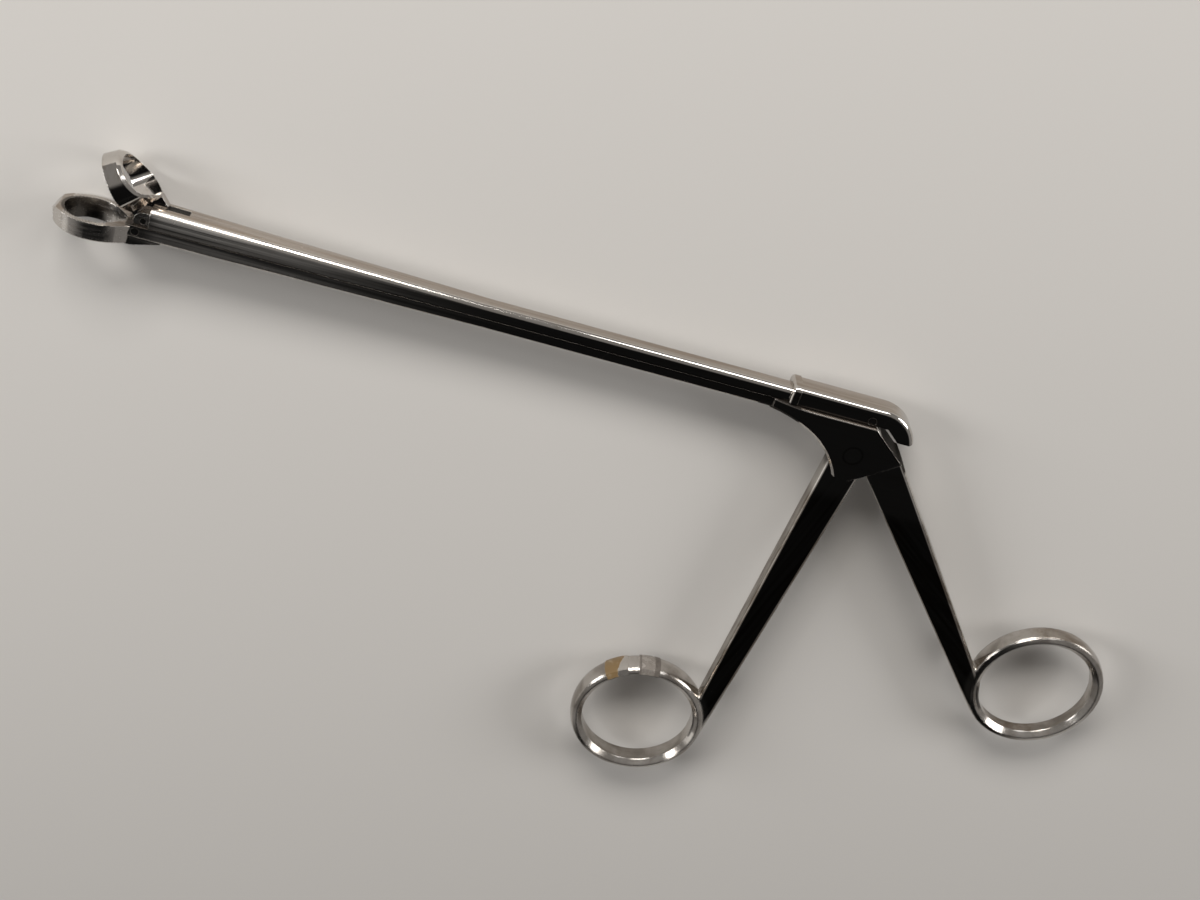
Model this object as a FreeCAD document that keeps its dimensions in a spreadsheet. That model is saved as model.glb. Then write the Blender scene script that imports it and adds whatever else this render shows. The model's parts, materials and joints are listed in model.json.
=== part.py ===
import FreeCAD, Part
import math
import os
import Sketcher

# A ring-handled bone rongeur, lying on its side with the jaws open.
# X runs back along the shaft, Y from the rings up to the slider, Z through the thickness.
# The origin is on the handle pivot's axis, in the hub's lower side face.

SIZES = {
    # Hub and the line where the slider meets the fixed half
    "hub_width": 8.4,
    "seam_rise": 7.4,
    "seam_gap": 0.06,
    "hub_front": 20.0,
    "hub_throat_radius": 19.0,
    "hub_foot": 5.9,
    "hub_foot_front": 2.4,
    "hub_foot_back": 3.6,
    "hub_foot_run": 2.6,
    "hub_foot_bulge": 0.3,
    "hub_foot_lift": 1.3,
    "hub_top_back": 2.4,
    "hub_back_reach": 10.5,
    "hub_back_drop": 6.6,
    "hub_flare": 9.0,
    "hub_edge_round": 0.45,
    "throat_bevel": 0.5,
    # Shaft, shared by the fixed half and the slider
    "shaft_width": 4.6,
    "shaft_nose_width": 6.2,
    "shaft_swell": 70.0,
    "shaft_front": 2.0,
    "shaft_root": 5.0,
    "shaft_corner": 1.1,
    "slider_corner": 1.6,
    "lower_depth": 2.5,
    "lower_nose_depth": 2.9,
    "slider_height": 3.0,
    "slider_nose_height": 4.2,
    # Slider details
    "collar_place": 16.0,
    "collar_length": 1.8,
    "collar_height": 4.15,
    "collar_width": 6.8,
    "collar_round": 0.7,
    "block_height": 3.9,
    "block_width": 6.1,
    "block_corner": 1.2,
    "tail_radius": 8.5,
    "tail_drop": 2.4,
    "tail_thickness": 3.4,
    "tail_end_round": 0.9,
    "tail_gap": 0.3,
    "slider_front": 2.4,
    "fork_back": 7.0,
    "nose_width": 5.2,
    "nose_radius": 1.8,
    "jaw_back_gap": 0.35,
    # Guide tongue under the slider and its slot
    "guide_length": 8.0,
    "guide_neck": 1.3,
    "guide_head": 2.5,
    "guide_neck_depth": 0.75,
    "guide_head_depth": 0.7,
    "guide_gap": 0.12,
    "guide_end_gap": 0.4,
    "front_guide_place": 132.0,
    "back_guide_place": 34.0,
    # Jaw linkage
    "jaw_reach": 150.5,
    "jaw_pivot_drop": 1.2,
    "jaw_opening": 53.0,
    "link_rise": 2.35,
    "jaw_pin_radius": 0.75,
    "link_pin_radius": 0.6,
    "pin_gap": 0.04,
    "jaw_stem_width": 1.8,
    "jaw_root_radius": 1.7,
    "heel_forward": 1.6,
    "heel_rise": 7.6,
    "stem_gap": 0.1,
    "fork_run": 3.4,
    "fork_front": 4.0,
    # Cup jaws
    "cup_length": 15.2,
    "tip_bevel": 1.3,
    "tip_bevel_depth": 2.1,
    "tip_bevel_radius": 3.2,
    "cup_width": 12.0,
    "cup_tip_share": 0.6,
    "lower_cup_wide_share": 0.63,
    "upper_cup_wide_share": 0.57,
    "lower_cup_fullness": 0.9,
    "upper_cup_fullness": 0.66,
    "cup_wall": 0.95,
    "cup_draft": 6.0,
    "lower_hollow_back": 2.6,
    "lower_hollow_neck": 2.52,
    "lower_hollow_draft": 9.0,
    "upper_hollow_draft": 3.0,
    "upper_cup_wall": 0.75,
    "upper_tip_wall": 1.5,
    "upper_neck_width": 3.4,
    "tooth_pitch": 0.6,
    "tooth_depth": 0.17,
    "teeth_from_tip": 1.5,
    "teeth_from_pivot": 5.0,
    "rim_drop": 0.4,
    "rim_gap": 0.06,
    "lower_cup_depth": 4.15,
    "heel_front": 2.5,
    "heel_bend": 0.5,
    "heel_lift": 0.1,
    "heel_run": 5.0,
    "upper_cup_tip_height": 3.1,
    "upper_cup_back_slope": 17.7,
    "upper_cup_dome_radius": 14.0,
    "lower_cup_edge_bevel": 0.4,
    "upper_cup_edge_bevel": 0.45,
    # Handles and rings
    "handle_swing": 16.0,
    "handle_screw_radius": 2.0,
    "screw_head_radius": 3.0,
    "screw_head_depth": 1.2,
    "screw_slot_width": 0.7,
    "screw_slot_depth": 0.6,
    "boss_radius": 4.3,
    "lever_width": 4.2,
    "lever_gap": 0.15,
    "boss_gap": 0.25,
    "lever_swing_gap": 0.3,
    "slot_mouth_depth": 14.0,
    "slot_mouth_front": 1.3,
    "slot_mouth_back": 4.2,
    "tongue_width": 2.6,
    "drive_pin_radius": 0.85,
    "tongue_half": 2.2,
    "tongue_tip": 1.4,
    "tongue_bevel": 0.6,
    "tongue_space": 0.9,
    "bar_top_width": 8.2,
    "bar_ring_width": 4.4,
    "bar_edge_round": 0.9,
    "back_bar_angle": 48.5,
    "front_bar_angle": 97.3,
    "back_bar_depth": 3.9,
    "back_bar_place": 7.3,
    "back_bar_drop": 1.2,
    "front_bar_place": 0.3,
    "front_bar_drop": 2.5,
    "ring_inner_radius": 13.0,
    "ring_outer_radius": 15.7,
    "ring_lip": 1.2,
    "ring_shoulder": 0.6,
    "ring_crown": 6.0,
    "finger_ring_width": 6.0,
    "thumb_ring_width": 5.0,
    "front_ring_forward": 20.6,
    "front_ring_down": 83.8,
    "back_ring_back": 64.4,
    "back_ring_down": 48.4,
    # Marking tapes on the finger ring
    "tape_thickness": 0.15,
    "tape_gap": 0.03,
    "amber_tape_angle": 125.0,
    "amber_tape_length": 5.6,
    "grey_tape_angle": 96.0,
    "grey_tape_length": 5.0,
}

os.makedirs("parts", exist_ok=True)
doc = FreeCAD.newDocument("rongeur")
sheet = doc.addObject("Spreadsheet::Sheet", "Sizes")
for row, (alias, number) in enumerate(SIZES.items(), 1):
    sheet.set("A%d" % row, alias)
    sheet.set("B%d" % row, str(number))
    sheet.setAlias("B%d" % row, alias)
doc.recompute()


class Dim:
    """A length or angle that knows its number and the sheet expression it comes from."""

    def __init__(self, value, text=None):
        self.value = float(value)
        self.text = text if text is not None else "%g" % value

    def __add__(self, other):
        other = dim(other)
        return Dim(self.value + other.value, "(%s + %s)" % (self.text, other.text))

    def __sub__(self, other):
        other = dim(other)
        return Dim(self.value - other.value, "(%s - %s)" % (self.text, other.text))

    def __mul__(self, other):
        other = dim(other)
        return Dim(self.value * other.value, "(%s * %s)" % (self.text, other.text))

    def __truediv__(self, other):
        other = dim(other)
        return Dim(self.value / other.value, "(%s / %s)" % (self.text, other.text))

    def __neg__(self):
        return Dim(-self.value, "(0 - %s)" % self.text)

    def __radd__(self, other):
        return dim(other) + self

    def __rsub__(self, other):
        return dim(other) - self

    def __rmul__(self, other):
        return dim(other) * self


def dim(number):
    return number if isinstance(number, Dim) else Dim(number)


def size(alias):
    return Dim(SIZES[alias], "Sizes." + alias)


def sin(angle):
    return Dim(math.sin(math.radians(angle.value)), "sin(%s)" % angle.text)


def cos(angle):
    return Dim(math.cos(math.radians(angle.value)), "cos(%s)" % angle.text)


def tan(angle):
    return Dim(math.tan(math.radians(angle.value)), "tan(%s)" % angle.text)


def root(number):
    return Dim(math.sqrt(number.value), "sqrt(%s)" % number.text)


def bind(item, path, number):
    item.setExpression(path, dim(number).text)


# Each plane's own axes: XY is (X, Y, Z), XZ is (X, Z, -Y), YZ is (Y, Z, X)
def sketch_on(body, name, plane, offset=(0, 0, 0), turn=None):
    sketch = body.newObject("Sketcher::SketchObject", name)
    planes = {feature.Role: feature for feature in body.Origin.OriginFeatures}
    sketch.AttachmentSupport = [(planes[plane + "_Plane"], "")]
    sketch.MapMode = "FlatFace"
    if turn is not None:
        axis = FreeCAD.Vector(*turn[0])
        sketch.AttachmentOffset = FreeCAD.Placement(FreeCAD.Vector(), FreeCAD.Rotation(axis, 1))
        bind(sketch, "AttachmentOffset.Rotation.Angle", turn[1])
    for letter, shift in zip("xyz", offset):
        bind(sketch, "AttachmentOffset.Base." + letter, shift)
    return sketch


def arc_between(start, end, radius):
    """Minor arc from start to end; a positive radius has its centre on the left."""
    half = (end - start) * 0.5
    left = FreeCAD.Vector(-half.y, half.x, 0).normalize()
    rise = math.sqrt(max(radius * radius - half.Length * half.Length, 0.0))
    centre = start + half + left * math.copysign(rise, radius)
    circle = Part.Circle(centre, FreeCAD.Vector(0, 0, 1), abs(radius))
    ends = (start, end) if radius > 0 else (end, start)
    return Part.ArcOfCircle(circle, circle.parameter(ends[0]), circle.parameter(ends[1]))


# An outline is a list of corners (x, y) or (x, y, radius of the arc to the next corner)
def outline(sketch, corners):
    first = sketch.GeometryCount
    count = len(corners)
    points = [FreeCAD.Vector(dim(c[0]).value, dim(c[1]).value, 0) for c in corners]
    starts = []
    for index, corner in enumerate(corners):
        start = points[index]
        end = points[(index + 1) % count]
        if len(corner) == 3:
            radius = dim(corner[2])
            edge = sketch.addGeometry(arc_between(start, end, radius.value), False)
            rule = sketch.addConstraint(Sketcher.Constraint("Radius", edge, abs(radius.value)))
            text = radius.text if radius.value > 0 else (-radius).text
            sketch.setExpression("Constraints[%d]" % rule, text)
            starts.append(1 if radius.value > 0 else 2)
        else:
            sketch.addGeometry(Part.LineSegment(start, end), False)
            starts.append(1)
    for index in range(count):
        after = (index + 1) % count
        joint = Sketcher.Constraint("Coincident", first + index, 3 - starts[index],
                                    first + after, starts[after])
        sketch.addConstraint(joint)
    for index, corner in enumerate(corners):
        for kind, place in (("DistanceX", dim(corner[0])), ("DistanceY", dim(corner[1]))):
            rule = sketch.addConstraint(Sketcher.Constraint(kind, -1, 1, first + index,
                                                            starts[index], place.value))
            bind(sketch, "Constraints[%d]" % rule, place)
    return sketch


def disc(sketch, x, y, radius):
    x, y, radius = dim(x), dim(y), dim(radius)
    centre = FreeCAD.Vector(x.value, y.value, 0)
    circle = sketch.addGeometry(Part.Circle(centre, FreeCAD.Vector(0, 0, 1), radius.value), False)
    rules = [("DistanceX", -1, 1, circle, 3, x), ("DistanceY", -1, 1, circle, 3, y)]
    for kind, *places, number in rules:
        rule = sketch.addConstraint(Sketcher.Constraint(kind, *places, number.value))
        bind(sketch, "Constraints[%d]" % rule, number)
    rule = sketch.addConstraint(Sketcher.Constraint("Radius", circle, radius.value))
    bind(sketch, "Constraints[%d]" % rule, radius)
    return sketch


def new_body(label):
    body = doc.addObject("PartDesign::Body", label)
    body.Label = label
    return body


def extrude(body, kind, sketch, length, both_ways=True, backwards=False, taper=None):
    feature = body.newObject("PartDesign::" + kind, sketch.Name + "_" + kind.lower())
    feature.Profile = sketch
    feature.SideType = "Symmetric" if both_ways else "One side"
    feature.Reversed = backwards
    bind(feature, "Length", length)
    if taper is not None:
        bind(feature, "TaperAngle", taper)
    sketch.Visibility = False
    doc.recompute()
    return feature


def turn_about(body, kind, sketch):
    feature = body.newObject("PartDesign::" + kind, sketch.Name + "_" + kind.lower())
    feature.Profile = sketch
    feature.ReferenceAxis = (sketch, ["V_Axis"])
    feature.Angle = 360
    doc.recompute()
    return feature


def loft(body, sketches):
    feature = body.newObject("PartDesign::AdditiveLoft", sketches[0].Name + "_loft")
    feature.Profile = sketches[0]
    feature.Sections = sketches[1:]
    feature.Ruled = True
    doc.recompute()
    return feature


def dress_edges(body, kind, path, amount, chosen):
    """Fillet or chamfer the edges of the body's last feature that the test picks."""
    base = body.Tip
    names = ["Edge%d" % (number + 1) for number, edge in enumerate(base.Shape.Edges) if chosen(edge)]
    feature = body.newObject("PartDesign::" + kind, base.Name + "_" + kind.lower())
    feature.Base = (base, names)
    bind(feature, path, amount)
    doc.recompute()
    return feature


def round_edges(body, radius, chosen):
    return dress_edges(body, "Fillet", "Radius", radius, chosen)


def bevel_edges(body, depth, chosen):
    return dress_edges(body, "Chamfer", "Size", depth, chosen)


middle = size("hub_width") / 2
seam = size("seam_rise")

# The linkage: the same stroke turns the jaw and the lever, each evenly about its own middle
half_stroke = size("link_rise") * tan(size("jaw_opening") / 2)
drive_arm = half_stroke / tan(size("handle_swing") / 2)
stroke = half_stroke * 2
jaw_pivot_x = -size("jaw_reach")
jaw_pivot_y = seam - size("jaw_pivot_drop")
link_x = jaw_pivot_x + half_stroke
link_y = jaw_pivot_y + size("link_rise")
rim_y = seam - size("rim_drop")
fork_width = size("jaw_stem_width") + size("stem_gap") * 2
slot_width = size("lever_width") + size("lever_gap") * 2

# How far a cutting outline reaches past what it cuts
beyond = dim(1)


def shaft_section(body, name, x, width, seam_y, edge_y, corner):
    """Flat at the seam, with its two outer corners rounded."""
    half = width / 2
    up = edge_y.value > seam_y.value
    inner_y = edge_y - corner if up else edge_y + corner
    bend = corner if up else -corner
    sketch = sketch_on(body, name, "YZ", (0, 0, x))
    corners = [
        (seam_y, -half),
        (inner_y, -half, bend),
        (edge_y, corner - half),
        (edge_y, half - corner, bend),
        (inner_y, half),
        (seam_y, half),
    ]
    return outline(sketch, corners)


def shaft_run(body, name, seam_y, sections):
    """Loft through (x, width, edge y, corner radius) sections, front to back."""
    sketches = [shaft_section(body, "%s_%d" % (name, number), x, width, seam_y, edge_y, corner)
                for number, (x, width, edge_y, corner) in enumerate(sections)]
    return loft(body, sketches)


# A ring with its centre at (x, y): flat inside for the finger, crowned outside, bevelled between
def ring_section(body, name, x, y, width, grow=0):
    inner = size("ring_inner_radius")
    lip = size("ring_lip")
    outer = size("ring_outer_radius") + grow
    crown = size("ring_crown")
    half = width / 2 + grow
    shoulder = half - size("ring_shoulder")
    shoulder_x = outer - crown + root(crown * crown - shoulder * shoulder)
    sketch = sketch_on(body, name, "XZ", (x, 0, -y))
    corners = [
        (inner, lip - half),
        (inner + lip, -half),
        (shoulder_x, -shoulder, crown),
        (shoulder_x, shoulder),
        (inner + lip, half),
        (inner, half - lip),
    ]
    return outline(sketch, corners)


def finger_ring(body, name, x, y, width):
    turn_about(body, "Revolution", ring_section(body, name, x, y, width))
    bore = disc(sketch_on(body, name + "_bore", "XY"), x, y, size("ring_inner_radius"))
    return extrude(body, "Pocket", bore, size("hub_width") * 2)


# A handle bar ends on its ring's rim, along the tangent; side is +1 for the ring on its right hand.
# Its thickness goes from one depth to the other, and its four long edges are rounded.
def handle_bar(body, name, top, bar_angle, side, ring, depths):
    along_x = cos(bar_angle)
    along_y = -sin(bar_angle)
    half_top = size("bar_top_width") / 2
    half_end = size("bar_ring_width") / 2
    reach = (size("ring_outer_radius") - half_end) * side
    end = (ring[0] - along_y * reach, ring[1] + along_x * reach)
    corners = [
        (top[0] + along_y * half_top, top[1] - along_x * half_top),
        (end[0] + along_y * half_end, end[1] - along_x * half_end),
        (end[0] - along_y * half_end, end[1] + along_x * half_end),
        (top[0] - along_y * half_top, top[1] + along_x * half_top),
    ]
    extrude(body, "Pad", outline(sketch_on(body, name, "XY"), corners), depths[0])
    if depths[0].value > depths[1].value:
        length = (end[0] - top[0]) * along_x + (end[1] - top[1]) * along_y
        sides = sketch_on(body, name + "_sides", "XZ", (top[0], 0, -top[1]), ((0, 1, 0), -bar_angle))
        for sign in (1, -1):
            corners = [
                (0, depths[0] / 2 * sign),
                (length, depths[1] / 2 * sign),
                (length, depths[0] * sign),
                (0, depths[0] * sign),
            ]
            outline(sides, corners[::sign])
        extrude(body, "Pocket", sides, size("bar_top_width") * 2)
    return round_edges(body, size("bar_edge_round"), lambda edge: edge.Length > length_limit(top, end))


def length_limit(top, end):
    """Longer than this, an edge runs along the bar."""
    return 0.8 * math.hypot((end[0] - top[0]).value, (end[1] - top[1]).value)


def bow_radius(run, rise):
    """Radius of the arc that starts level and climbs by rise over run."""
    return (run * run + rise * rise) / (rise * 2)


# Egg-shaped plan of a cup, x along the jaw and z across it, whose flanks run tangent in to its neck.
# The fullness is the share of the flank's arc in the largest one that still ends at the neck.
def cup_plan(sketch, tip_x, wide_x, back_x, half_width, half_neck, fullness):
    tip = half_width * size("cup_tip_share")
    run = wide_x - tip_x - tip
    side = (run * run + half_width * half_width - tip * tip) / ((half_width - tip) * 2)
    nose_x = tip_x + tip - tip * run / (side - tip)
    nose_half = tip * (side - half_width) / (side - tip)
    over_x = back_x - wide_x
    flank = bow_radius(over_x, half_width - half_neck) * fullness
    over_z = half_neck - half_width + flank
    apart = over_x * over_x + over_z * over_z
    tangent = root(apart - flank * flank)
    flank_x = wide_x + (flank * flank * over_x - flank * tangent * over_z) / apart
    flank_half = half_width - flank + (flank * flank * over_z + flank * tangent * over_x) / apart
    corners = [
        (back_x, half_neck),
        (flank_x, flank_half, flank),
        (wide_x, half_width, side),
        (nose_x, nose_half, tip),
        (nose_x, -nose_half, side),
        (wide_x, -half_width, flank),
        (flank_x, -flank_half),
        (back_x, -half_neck),
    ]
    return outline(sketch, corners)


# Serrations: V grooves across both side rims, from start_x to end_x; they reach down by the tooth depth
def cut_teeth(body, name, start_x, end_x, rim, down):
    pitch = size("tooth_pitch")
    count = int((end_x - start_x).value / pitch.value)
    clear = rim - down * pitch
    corners = [(start_x, clear)]
    for tooth in range(count):
        corners.append((start_x + pitch * tooth, rim))
        corners.append((start_x + pitch * (tooth + 0.5), rim + down * size("tooth_depth")))
    corners.append((start_x + pitch * count, rim))
    corners.append((start_x + pitch * count, clear))
    return extrude(body, "Pocket", outline(sketch_on(body, name, "XY"), corners), size("cup_width") * 2)


# The fixed half: rear handle with thumb ring, hub, lower shaft and lower cup jaw
def fixed_half():
    body = new_body("fixed_half")
    bind(body, ".Placement.Base.z", middle)
    ring = (size("back_ring_back"), -size("back_ring_down"))
    top = (size("back_bar_place"), -size("back_bar_drop"))
    handle_bar(body, "rear_bar", top, size("back_bar_angle"), -1, ring,
               (size("hub_width"), size("back_bar_depth")))
    finger_ring(body, "thumb_ring", *ring, size("thumb_ring_width"))

    # Hub, widening smoothly from the shaft
    hub_x = -size("hub_front")
    throat_y = seam - size("lower_depth")
    foot_y = -size("hub_foot")
    corners = [
        (hub_x, seam),
        (hub_x, throat_y, -size("hub_throat_radius")),
        (-size("hub_foot_front"), foot_y),
        (size("hub_foot_back") - size("hub_foot_run"), foot_y - size("hub_foot_bulge")),
        (size("hub_foot_back"), foot_y + size("hub_foot_lift")),
        (size("hub_back_reach"), seam - size("hub_back_drop")),
        (size("hub_top_back"), seam),
    ]
    extrude(body, "Pad", outline(sketch_on(body, "hub", "XY"), corners), size("hub_width"))
    half_hub = size("hub_width") / 2
    half_shaft = size("shaft_width") / 2
    flare_x = hub_x + size("hub_flare")
    flare = bow_radius(size("hub_flare"), half_hub - half_shaft)
    narrowing = sketch_on(body, "narrowing", "XZ")
    for sign in (1, -1):
        corners = [
            (flare_x, half_hub * sign, flare),
            (hub_x, half_shaft * sign),
            (hub_x - beyond, half_shaft * sign),
            (hub_x - beyond, (half_hub + beyond) * sign),
            (flare_x, (half_hub + beyond) * sign),
        ]
        if sign < 0:
            corners = [(hub_x, half_shaft * sign, flare)] + [corners[0][:2]] + corners[:2:-1] + [corners[2]]
        outline(narrowing, corners)
    extrude(body, "Pocket", narrowing, size("jaw_reach"))
    bevel_edges(body, size("throat_bevel"), lambda edge: on_throat(edge, hub_x))
    round_edges(body, size("hub_edge_round"), lambda edge: on_cheek_top(edge, hub_x))

    corner = size("shaft_corner")
    sections = [
        (jaw_pivot_x - size("shaft_front"), size("shaft_nose_width"), seam - size("lower_nose_depth"), corner),
        (jaw_pivot_x + size("shaft_swell"), size("shaft_width"), throat_y, corner),
        (hub_x + size("shaft_root"), size("shaft_width"), throat_y, corner),
    ]
    shaft_run(body, "lower_shaft", seam, sections)

    # Lower cup: drafted and rounded outside, open through its floor, with a rounded bevel at its tip
    bevel = size("tip_bevel")
    tip_x = jaw_pivot_x - size("cup_length") - bevel
    wide_x = tip_x + size("cup_width") * size("lower_cup_wide_share")
    half_cup = size("cup_width") / 2
    floor_y = rim_y - size("lower_cup_depth")
    neck_x = jaw_pivot_x - size("heel_bend") * 2
    cup = sketch_on(body, "lower_cup", "XZ", (0, 0, -rim_y))
    cup_plan(cup, tip_x, wide_x, neck_x, half_cup, size("shaft_nose_width") / 2, size("lower_cup_fullness"))
    extrude(body, "Pad", cup, size("lower_cup_depth"), both_ways=False, taper=-size("cup_draft"))
    bevel_edges(body, size("lower_cup_edge_bevel"), lambda edge: on_level(edge, "y", floor_y) and edge.Length > 1.5)
    heel = sketch_on(body, "lower_heel", "XY")
    corners = [
        (jaw_pivot_x - size("heel_front"), rim_y),
        (jaw_pivot_x - size("heel_front"), floor_y),
        (jaw_pivot_x - size("heel_bend"), floor_y + size("heel_lift")),
        (jaw_pivot_x + size("heel_run"), seam - size("lower_nose_depth")),
        (jaw_pivot_x + size("heel_run"), rim_y),
    ]
    extrude(body, "Pad", outline(heel, corners), size("shaft_nose_width") - size("shaft_corner"))
    bevel_y = rim_y - size("tip_bevel_depth")
    corners = [
        (tip_x - beyond, bevel_y),
        (tip_x, bevel_y, -size("tip_bevel_radius")),
        (tip_x + bevel, rim_y),
        (tip_x + bevel, rim_y + beyond),
        (tip_x - beyond, rim_y + beyond),
    ]
    extrude(body, "Pocket", outline(sketch_on(body, "tip_bevel", "XY"), corners), size("cup_width") * 2)
    wall = size("cup_wall")
    hollow = sketch_on(body, "lower_hollow", "XZ", (0, 0, -rim_y))
    cup_plan(hollow, tip_x + bevel + wall, wide_x, jaw_pivot_x - size("lower_hollow_back"),
             half_cup - wall, size("lower_hollow_neck") / 2, size("lower_cup_fullness"))
    extrude(body, "Pocket", hollow, size("lower_cup_depth") + beyond, both_ways=False, backwards=True,
            taper=-size("lower_hollow_draft"))
    cut_teeth(body, "lower_teeth", tip_x + bevel + size("teeth_from_tip"),
              jaw_pivot_x - size("teeth_from_pivot"), rim_y, -1)

    # Fork for the hinged jaw's stem, and its pin hole
    fork = sketch_on(body, "front_fork", "XZ")
    half_fork = fork_width / 2
    fork_start = jaw_pivot_x - size("fork_front")
    fork_end = jaw_pivot_x + size("fork_run")
    corners = [
        (fork_start, -half_fork),
        (fork_end, -half_fork),
        (fork_end, half_fork),
        (fork_start, half_fork),
    ]
    extrude(body, "Pocket", outline(fork, corners), size("jaw_reach"))
    pin_hole = disc(sketch_on(body, "jaw_pin_hole", "XY"), jaw_pivot_x, jaw_pivot_y,
                    size("jaw_pin_radius") + size("pin_gap"))
    extrude(body, "Pocket", pin_hole, size("cup_width"))

    # Slot for the finger lever, and the screw's hole with its counterbore
    swing = size("handle_swing") / 2
    half_top = size("tongue_half") + (drive_arm + size("tongue_tip")) * sin(swing) + size("lever_swing_gap")
    boss = size("boss_radius") + size("boss_gap")
    shoulder_y = size("boss_radius") / 2
    floor_y = -size("slot_mouth_depth")
    corners = [
        (-half_top, seam + beyond),
        (-half_top, shoulder_y),
        (-boss, 0),
        (-boss - size("slot_mouth_front"), floor_y),
        (boss + size("slot_mouth_back"), floor_y),
        (boss + size("slot_mouth_front"), -size("boss_radius") * 0.75),
        (boss, 0),
        (half_top, shoulder_y),
        (half_top, seam + beyond),
    ]
    extrude(body, "Pocket", outline(sketch_on(body, "lever_slot", "XY"), corners), slot_width)
    screw_hole = disc(sketch_on(body, "screw_hole", "XY"), 0, 0,
                      size("handle_screw_radius") + size("pin_gap"))
    extrude(body, "Pocket", screw_hole, size("hub_width") * 2)
    head_seat = disc(sketch_on(body, "head_seat", "XY", (0, 0, -middle)), 0, 0,
                     size("screw_head_radius") + size("pin_gap"))
    extrude(body, "Pocket", head_seat, size("screw_head_depth"), both_ways=False, backwards=True)

    # T slots for the slider's guide tongues, with a wide window behind each to put them in
    for name, place in (("front", "front_guide_place"), ("back", "back_guide_place")):
        tongue_x = -size(place)
        start = tongue_x - stroke - size("guide_end_gap")
        end = tongue_x + size("guide_length") + size("guide_end_gap")
        window = end + size("guide_length")
        half_neck = size("guide_neck") / 2 + size("guide_gap")
        half_head = size("guide_head") / 2 + size("guide_gap")
        depth = size("guide_neck_depth") + size("guide_head_depth") + size("guide_gap")
        head_top = seam - size("guide_neck_depth") + size("guide_gap")
        cut_box(body, name + "_neck_slot", (start, window), (-half_neck, half_neck), seam, depth)
        cut_box(body, name + "_window", (end, window), (-half_head, half_head), seam, depth)
        cut_box(body, name + "_head_slot", (start, end), (-half_head, half_head), head_top,
                size("guide_head_depth") + size("guide_gap") * 2)
    return body


def on_level(edge, axis, level):
    """True for an edge that lies whole in the plane where the axis has that level."""
    low = getattr(edge.BoundBox, axis.upper() + "Min")
    high = getattr(edge.BoundBox, axis.upper() + "Max")
    return abs(low - level.value) < 0.01 and abs(high - level.value) < 0.01


def on_throat(edge, hub_x):
    """Both side edges of the hub's curved throat."""
    centre = edge.CenterOfMass
    low = edge.BoundBox
    sideways = abs(centre.z) > size("shaft_width").value / 2 - 0.01
    ahead = low.XMin > hub_x.value - 0.01 and low.XMax < 0.01 - size("hub_foot_front").value
    return sideways and ahead and not on_level(edge, "y", seam) and edge.Length > 2


def on_cheek_top(edge, hub_x):
    """Long side edges along the top of the hub's cheeks."""
    return on_level(edge, "y", seam) and abs(edge.CenterOfMass.z) > 1 and edge.Length > 2


def cut_box(body, name, span_x, span_z, top_y, depth):
    """Rectangular pocket that goes down from the level top_y."""
    sketch = sketch_on(body, name, "XZ", (0, 0, -top_y))
    corners = [
        (span_x[0], span_z[0]),
        (span_x[1], span_z[0]),
        (span_x[1], span_z[1]),
        (span_x[0], span_z[1]),
    ]
    return extrude(body, "Pocket", outline(sketch, corners), depth, both_ways=False, backwards=True)


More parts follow.
